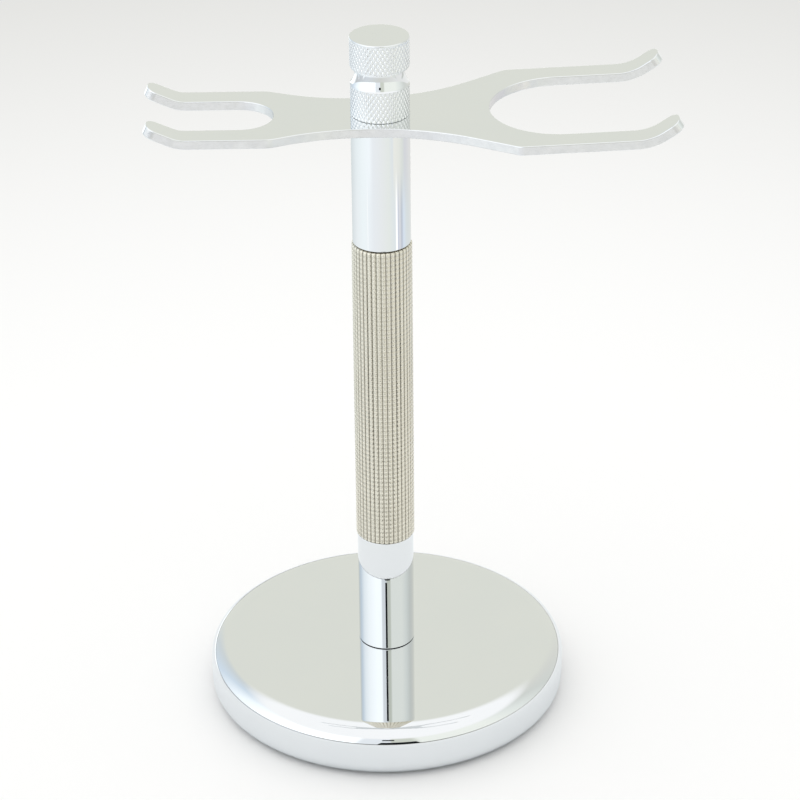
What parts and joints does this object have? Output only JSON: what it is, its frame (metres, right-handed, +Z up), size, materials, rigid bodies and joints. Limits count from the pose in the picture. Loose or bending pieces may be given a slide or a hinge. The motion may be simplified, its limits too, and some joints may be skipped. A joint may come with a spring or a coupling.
{
  "type": "razor stand",
  "caption": "Free-standing razor and brush stand: heavy round base, knurled column and a two-ended fork plate clamped by a screw-down knob.",
  "frame": {"origin": "centre of the base pad's underside, on the column's axis", "axes": "+Z up along the column, +X along the fork plate towards the wide brush slot"},
  "size_m": [0.1106, 0.08, 0.1582],
  "materials": {
    "chrome": "polished bright chrome plate",
    "satin_nickel": "satin champagne nickel, knurled",
    "fastener_steel": "zinc plated steel",
    "brass": "turned, uncoated",
    "cast_iron": "as cast, painted black",
    "pad_rubber": "matt",
    "nylon": "natural"
  },
  "bodies": {
    "stand": {"base_shell": "chrome", "ballast_disc": "cast_iron", "base_pad": "pad_rubber", "base_screw": "fastener_steel", "base_washer": "fastener_steel", "base_spring_washer": "fastener_steel", "foot_gasket": "pad_rubber", "lower_pole": "chrome", "foot_plug": "brass", "lower_coupler": "brass", "grip_sleeve": "satin_nickel", "upper_coupler": "brass", "upper_pole": "chrome", "top_plug": "brass", "tie_rod": "fastener_steel", "plate_washer": "nylon"},
    "fork": {"fork_plate": "chrome"},
    "clamp": {"clamp_washer": "fastener_steel"},
    "knob": {"knob": "chrome", "knob_stud": "fastener_steel"}
  },
  "joints": [
    {"name": "fork_swivel", "type": "hinge", "parent": "stand", "child": "fork", "pos_m": [0, 0, 0.1399], "axis": [0, 0, 1], "continuous": true},
    {"name": "knob_lift", "type": "slide", "parent": "stand", "child": "clamp", "axis": [0, 0, 1], "range_m": [0, 0.00801]},
    {"name": "knob_turn", "type": "hinge", "parent": "clamp", "child": "knob", "pos_m": [0, 0, 0.1415], "axis": [0, 0, 1], "range_deg": [0, 3600]}
  ],
  "couplings": [
    {"joint": "knob_lift", "follows": "knob_turn", "m_per_rad": 0.00012732}
  ]
}
